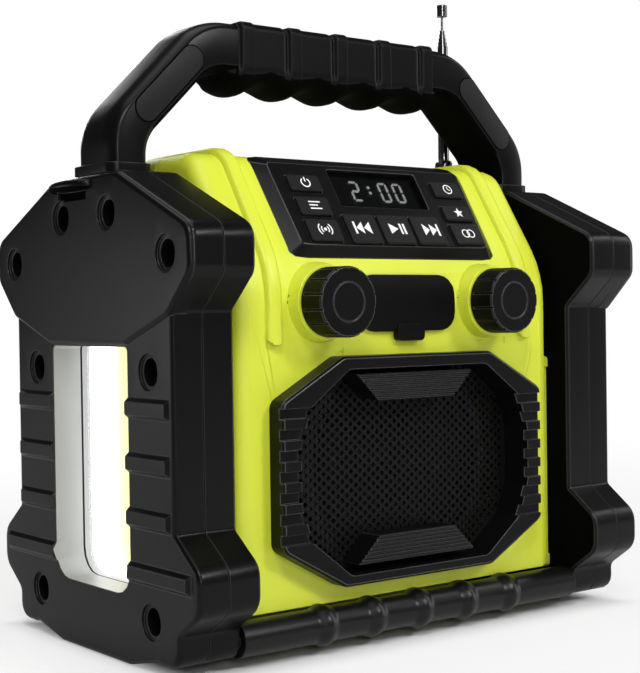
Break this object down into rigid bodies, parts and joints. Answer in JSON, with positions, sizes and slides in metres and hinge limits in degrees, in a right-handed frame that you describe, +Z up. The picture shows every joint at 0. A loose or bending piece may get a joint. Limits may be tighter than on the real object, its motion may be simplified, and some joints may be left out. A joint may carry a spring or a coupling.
{
  "type": "jobsite radio",
  "caption": "Rugged portable radio: hard yellow body between black end frames, carrying handle, slanted control panel, loudspeaker behind a grille, side lamp and telescopic antenna.",
  "frame": {"origin": "on the ground under the middle of the radio", "axes": "+X to the right seen from the front, -Y towards the front, +Z up"},
  "size_m": [0.257, 0.161, 0.292],
  "materials": {
    "yellow_plastic": "hard moulded plastic with a soft shine",
    "lamp_white": "white diffusing plastic",
    "lamp_yellow": "pale yellow diffusing strip",
    "clear_plastic": "clear lens",
    "black_plastic": "fine grained black plastic",
    "steel": "dark zinc plated screws",
    "black_rubber": "soft black rubber",
    "panel_plastic": "smooth black plastic",
    "smoked_window": "smoked window",
    "display_figures": "pale grey figures",
    "circuit_board": "green circuit board",
    "button_plastic": "satin black keys with pale marks",
    "knob_plastic": "soft-touch black knob",
    "shaft_steel": "turned steel shaft",
    "encoder_steel": "pressed steel case",
    "port_plastic": "black socket block",
    "grille_metal": "black painted perforated sheet",
    "basket_steel": "pressed steel",
    "surround_rubber": "rolled rubber surround",
    "cone_paper": "black paper cone",
    "battery_cells": "wrapped cells",
    "antenna_chrome": "polished tubes",
    "antenna_metal": "nickel plated joint"
  },
  "bodies": {
    "cabinet": {"front_shell": "yellow_plastic", "rear_shell": "yellow_plastic", "battery_cover": "black_plastic", "side_box": "yellow_plastic", "lamp_housing": "yellow_plastic", "lamp_tray": "lamp_white", "lamp_strip": "lamp_yellow", "lamp_lens": "clear_plastic", "left_frame_outer": "black_plastic", "left_frame_inner": "black_plastic", "right_frame_outer": "black_plastic", "right_frame_inner": "black_plastic", "frame_screws": "steel", "shell_screws": "steel", "bottom_bar_front": "black_rubber", "bottom_bar_rear": "black_rubber", "handle_front": "black_plastic", "handle_rear": "black_plastic", "handle_grip": "black_rubber", "handle_inlays": "black_rubber", "handle_collars": "black_plastic", "control_panel": "panel_plastic", "display_window": "smoked_window", "display_digits": "display_figures", "button_board": "circuit_board", "encoder_tuning": "encoder_steel", "encoder_volume": "encoder_steel", "port_block": "port_plastic", "speaker_bezel": "panel_plastic", "speaker_grille": "grille_metal", "grille_louvres": "panel_plastic", "speaker_basket": "basket_steel", "speaker_surround": "surround_rubber", "speaker_magnet": "basket_steel", "main_board": "circuit_board", "battery_pack": "battery_cells"},
    "power_key": {"button_power": "button_plastic"},
    "mode_key": {"button_mode": "button_plastic"},
    "scan_key": {"button_scan": "button_plastic"},
    "previous_key": {"button_previous": "button_plastic"},
    "play_key": {"button_play": "button_plastic"},
    "next_key": {"button_next": "button_plastic"},
    "time_key": {"button_time": "button_plastic"},
    "preset_key": {"button_preset": "button_plastic"},
    "pair_key": {"button_pair": "button_plastic"},
    "tuning_knob": {"knob_tuning": "knob_plastic", "shaft_tuning": "shaft_steel"},
    "volume_knob": {"knob_volume": "knob_plastic", "shaft_volume": "shaft_steel"},
    "port_flap": {"port_cover": "black_rubber"},
    "speaker_diaphragm": {"speaker_cone": "cone_paper"},
    "antenna_base": {"antenna_swivel": "antenna_metal"},
    "antenna_mast": {"antenna_knuckle": "antenna_metal", "antenna_tube_1": "antenna_chrome"},
    "antenna_section_2": {"antenna_tube_2": "antenna_chrome"},
    "antenna_section_3": {"antenna_tube_3": "antenna_chrome"},
    "antenna_section_4": {"antenna_tube_4": "antenna_chrome"},
    "antenna_section_5": {"antenna_tube_5": "antenna_chrome"},
    "antenna_tip": {"antenna_rod": "antenna_chrome"}
  },
  "joints": [
    {"name": "power_press", "type": "slide", "parent": "cabinet", "child": "power_key", "axis": [0, 0.8387, -0.5446], "range_m": [0, 0.0008], "stiffness_N_per_m": 800, "springref_m": -0.0006},
    {"name": "mode_press", "type": "slide", "parent": "cabinet", "child": "mode_key", "axis": [0, 0.8387, -0.5446], "range_m": [0, 0.0008], "stiffness_N_per_m": 800, "springref_m": -0.0006},
    {"name": "scan_press", "type": "slide", "parent": "cabinet", "child": "scan_key", "axis": [0, 0.8387, -0.5446], "range_m": [0, 0.0008], "stiffness_N_per_m": 800, "springref_m": -0.0006},
    {"name": "previous_press", "type": "slide", "parent": "cabinet", "child": "previous_key", "axis": [0, 0.8387, -0.5446], "range_m": [0, 0.0008], "stiffness_N_per_m": 800, "springref_m": -0.0006},
    {"name": "play_press", "type": "slide", "parent": "cabinet", "child": "play_key", "axis": [0, 0.8387, -0.5446], "range_m": [0, 0.0008], "stiffness_N_per_m": 800, "springref_m": -0.0006},
    {"name": "next_press", "type": "slide", "parent": "cabinet", "child": "next_key", "axis": [0, 0.8387, -0.5446], "range_m": [0, 0.0008], "stiffness_N_per_m": 800, "springref_m": -0.0006},
    {"name": "time_press", "type": "slide", "parent": "cabinet", "child": "time_key", "axis": [0, 0.8387, -0.5446], "range_m": [0, 0.0008], "stiffness_N_per_m": 800, "springref_m": -0.0006},
    {"name": "preset_press", "type": "slide", "parent": "cabinet", "child": "preset_key", "axis": [0, 0.8387, -0.5446], "range_m": [0, 0.0008], "stiffness_N_per_m": 800, "springref_m": -0.0006},
    {"name": "pair_press", "type": "slide", "parent": "cabinet", "child": "pair_key", "axis": [0, 0.8387, -0.5446], "range_m": [0, 0.0008], "stiffness_N_per_m": 800, "springref_m": -0.0006},
    {"name": "tuning_turn", "type": "hinge", "parent": "cabinet", "child": "tuning_knob", "pos_m": [-0.046, -0.058, 0.141], "axis": [0, -1, 0], "continuous": true},
    {"name": "volume_turn", "type": "hinge", "parent": "cabinet", "child": "volume_knob", "pos_m": [0.046, -0.058, 0.141], "axis": [0, -1, 0], "continuous": true},
    {"name": "port_flap_hinge", "type": "hinge", "parent": "cabinet", "child": "port_flap", "pos_m": [0, -0.0576, 0.1524], "axis": [-1, 0, 0], "range_deg": [0, 100], "stiffness_Nm_per_rad": 0.02},
    {"name": "cone_travel", "type": "slide", "parent": "cabinet", "child": "speaker_diaphragm", "axis": [0, -1, 0], "range_m": [-0.001, 0.001], "stiffness_N_per_m": 1500},
    {"name": "antenna_turn", "type": "hinge", "parent": "cabinet", "child": "antenna_base", "pos_m": [0.0982, 0.0242, 0.2], "axis": [0, 0, 1], "range_deg": [-180, 0]},
    {"name": "antenna_tilt", "type": "hinge", "parent": "antenna_base", "child": "antenna_mast", "pos_m": [0.0982, 0.0242, 0.21], "axis": [0, -1, 0], "range_deg": [0, 90]},
    {"name": "section_2_slide", "type": "slide", "parent": "antenna_mast", "child": "antenna_section_2", "axis": [0, 0, 1], "range_m": [0, 0.046]},
    {"name": "section_3_slide", "type": "slide", "parent": "antenna_section_2", "child": "antenna_section_3", "axis": [0, 0, 1], "range_m": [0, 0.046]},
    {"name": "section_4_slide", "type": "slide", "parent": "antenna_section_3", "child": "antenna_section_4", "axis": [0, 0, 1], "range_m": [0, 0.046]},
    {"name": "section_5_slide", "type": "slide", "parent": "antenna_section_4", "child": "antenna_section_5", "axis": [0, 0, 1], "range_m": [0, 0.046]},
    {"name": "tip_slide", "type": "slide", "parent": "antenna_section_5", "child": "antenna_tip", "axis": [0, 0, 1], "range_m": [0, 0.046]}
  ],
  "couplings": [
    {"joint": "section_3_slide", "follows": "section_2_slide", "ratio": 1},
    {"joint": "section_4_slide", "follows": "section_2_slide", "ratio": 1},
    {"joint": "section_5_slide", "follows": "section_2_slide", "ratio": 1},
    {"joint": "tip_slide", "follows": "section_2_slide", "ratio": 1}
  ]
}
